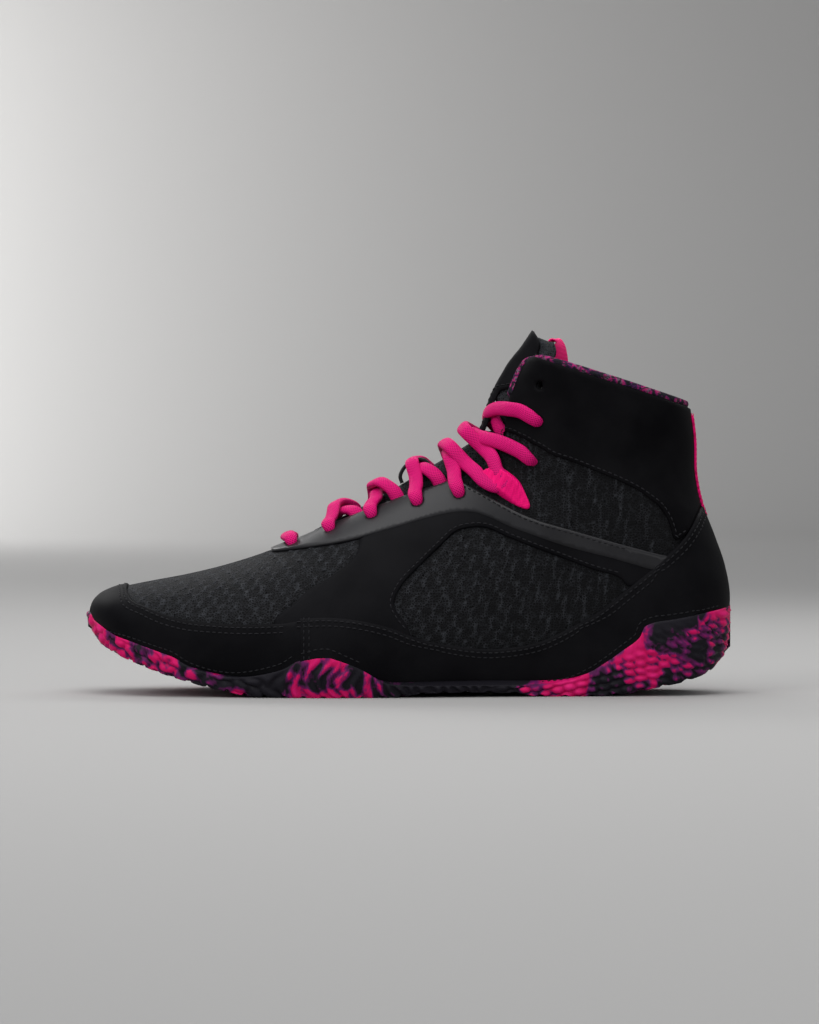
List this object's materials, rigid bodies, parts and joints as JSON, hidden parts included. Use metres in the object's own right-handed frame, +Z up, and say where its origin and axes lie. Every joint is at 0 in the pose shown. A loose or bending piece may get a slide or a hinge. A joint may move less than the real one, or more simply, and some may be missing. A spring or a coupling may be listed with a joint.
{
  "type": "wrestling shoe",
  "caption": "Mid-height laced wrestling shoe with a hollow textile upper, wrapped overlays, padded tongue and a thin ribbed cup sole.",
  "frame": {"origin": "centre of the bounding box at the floor plane under the sole", "axes": "+Z up, toe towards -X, heel towards +X, inner (medial) side of this left shoe towards +Y"},
  "size_m": [0.2891, 0.101, 0.1627],
  "materials": {
    "sole_rubber": "matt rubber marbled in pink, purple and near black",
    "insole_foam": "black cloth-covered foam board",
    "upper_mesh": "black open mesh over a black lining",
    "overlay_film": "black fused film with a fine grain",
    "overlay_suede": "black napped synthetic",
    "eyestay_gloss": "dark grey glossy coated band",
    "cuff_textile": "black stretch textile",
    "tongue_textile": "black padded textile",
    "pink_webbing": "bright pink woven webbing",
    "pink_lace": "deep pink braided lace"
  },
  "bodies": {
    "root": {"outsole": "sole_rubber", "insole": "insole_foam", "upper": "upper_mesh", "toe_guard": "overlay_film", "heel_wrap": "overlay_film", "saddle_lateral": "overlay_suede", "saddle_medial": "overlay_suede", "eyestay": "eyestay_gloss", "cuff": "cuff_textile", "heel_tape": "pink_webbing", "tongue": "tongue_textile", "tongue_panel": "overlay_suede", "lace_keeper": "tongue_textile", "pull_tab": "pink_webbing", "loop_lateral": "pink_webbing", "loop_medial": "pink_webbing", "lace_bar": "pink_lace", "lace_cross_1": "pink_lace", "lace_cross_2": "pink_lace", "lace_cross_3": "pink_lace", "lace_cross_4": "pink_lace", "lace_cross_5": "pink_lace", "lace_cross_6": "pink_lace"}
  },
  "joints": []
}
